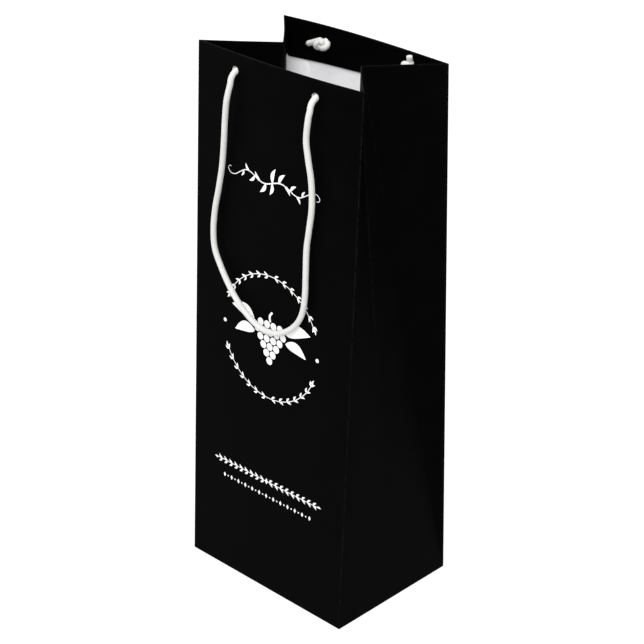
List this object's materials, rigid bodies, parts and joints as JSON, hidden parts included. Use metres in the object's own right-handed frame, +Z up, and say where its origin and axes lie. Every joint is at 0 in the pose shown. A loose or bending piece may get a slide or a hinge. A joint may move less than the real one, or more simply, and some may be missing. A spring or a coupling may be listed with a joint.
{
  "type": "wine gift bag",
  "caption": "Tall narrow paper gift bag for a wine bottle, with side gussets folded in at the mouth and knotted rope handles.",
  "frame": {"origin": "middle of the base, on the surface that the bag stands on", "axes": "+Z up; front panel, with the ornament, faces -Y; +X is to the right when looking at the front panel"},
  "size_m": [0.126, 0.0942, 0.3297],
  "materials": {
    "black_laminated_paper": "satin",
    "white_paper": "matte",
    "grey_board": "matte",
    "white_rope": "matte"
  },
  "bodies": {
    "base": {"bottom_front_flap": "black_laminated_paper", "bottom_back_flap": "black_laminated_paper", "bottom_left_flap": "black_laminated_paper", "bottom_right_flap": "black_laminated_paper", "base_board": "grey_board"},
    "back_panel": {"back_panel": "black_laminated_paper", "back_hem": "black_laminated_paper", "back_top_card": "grey_board", "side_seam_flap": "white_paper", "back_left_knot": "white_rope", "back_right_knot": "white_rope"},
    "front_panel": {"front_panel": "black_laminated_paper", "front_hem": "black_laminated_paper", "front_top_card": "grey_board", "front_left_knot": "white_rope", "front_right_knot": "white_rope"},
    "right_gusset_back": {"right_gusset_back": "black_laminated_paper", "right_gusset_back_hem": "black_laminated_paper"},
    "right_gusset_bottom": {"right_gusset_bottom": "black_laminated_paper"},
    "right_gusset_front": {"right_gusset_front": "black_laminated_paper", "right_gusset_front_hem": "black_laminated_paper"},
    "left_gusset_back": {"left_gusset_back": "black_laminated_paper", "left_gusset_back_hem": "black_laminated_paper"},
    "left_gusset_bottom": {"left_gusset_bottom": "black_laminated_paper"},
    "left_gusset_front": {"left_gusset_front": "black_laminated_paper", "left_gusset_front_hem": "black_laminated_paper"},
    "front_handle": {"front_handle_cord": "white_rope"},
    "back_handle": {"back_handle_cord": "white_rope"}
  },
  "joints": [
    {"name": "right_back_edge_fold", "type": "hinge", "parent": "back_panel", "child": "right_gusset_back", "pos_m": [0.063, 0.047, 0], "axis": [0, 0.041, -0.9992], "range_deg": [-24, 18]},
    {"name": "back_bottom_fold", "type": "hinge", "parent": "base", "child": "back_panel", "pos_m": [0, 0.047, 0], "axis": [1, 0, 0], "range_deg": [-2.24, 1.69]},
    {"name": "right_rear_diagonal_fold", "type": "hinge", "parent": "right_gusset_back", "child": "right_gusset_bottom", "pos_m": [0.063, 0.047, 0], "axis": [-0.0989, -0.141, 0.9851], "range_deg": [-24.35, 18.27]},
    {"name": "right_front_diagonal_fold", "type": "hinge", "parent": "right_gusset_bottom", "child": "right_gusset_front", "pos_m": [0.063, -0.047, 0], "axis": [-0.0989, 0.141, 0.9851], "range_deg": [-24.35, 18.27]},
    {"name": "right_front_edge_fold", "type": "hinge", "parent": "right_gusset_front", "child": "front_panel", "pos_m": [0.063, -0.047, 0], "axis": [0, -0.041, -0.9992], "range_deg": [-24.02, 18.02]},
    {"name": "left_back_edge_fold", "type": "hinge", "parent": "back_panel", "child": "left_gusset_back", "pos_m": [-0.063, 0.047, 0], "axis": [0, -0.041, 0.9992], "range_deg": [-24.02, 18.02]},
    {"name": "left_rear_diagonal_fold", "type": "hinge", "parent": "left_gusset_back", "child": "left_gusset_bottom", "pos_m": [-0.063, 0.047, 0], "axis": [-0.0989, 0.141, -0.9851], "range_deg": [-24.35, 18.27]},
    {"name": "left_front_diagonal_fold", "type": "hinge", "parent": "left_gusset_bottom", "child": "left_gusset_front", "pos_m": [-0.063, -0.047, 0], "axis": [-0.0989, -0.141, -0.9851], "range_deg": [-24.35, 18.27]},
    {"name": "front_handle_swing", "type": "hinge", "parent": "front_panel", "child": "front_handle", "pos_m": [0, -0.04102, 0.32002], "axis": [-1, 0, 0], "range_deg": [0, 184]},
    {"name": "back_handle_swing", "type": "hinge", "parent": "back_panel", "child": "back_handle", "pos_m": [0, 0.04102, 0.32002], "axis": [1, 0, 0], "range_deg": [0, 184]}
  ],
  "couplings": [
    {"joint": "back_bottom_fold", "follows": "right_back_edge_fold", "ratio": 0.0927},
    {"joint": "right_rear_diagonal_fold", "follows": "right_back_edge_fold", "ratio": 1.0137},
    {"joint": "right_front_diagonal_fold", "follows": "right_back_edge_fold", "ratio": 1.0137},
    {"joint": "right_front_edge_fold", "follows": "right_back_edge_fold", "ratio": 1},
    {"joint": "left_back_edge_fold", "follows": "right_back_edge_fold", "ratio": 1},
    {"joint": "left_rear_diagonal_fold", "follows": "right_back_edge_fold", "ratio": 1.0137},
    {"joint": "left_front_diagonal_fold", "follows": "right_back_edge_fold", "ratio": 1.0137}
  ]
}
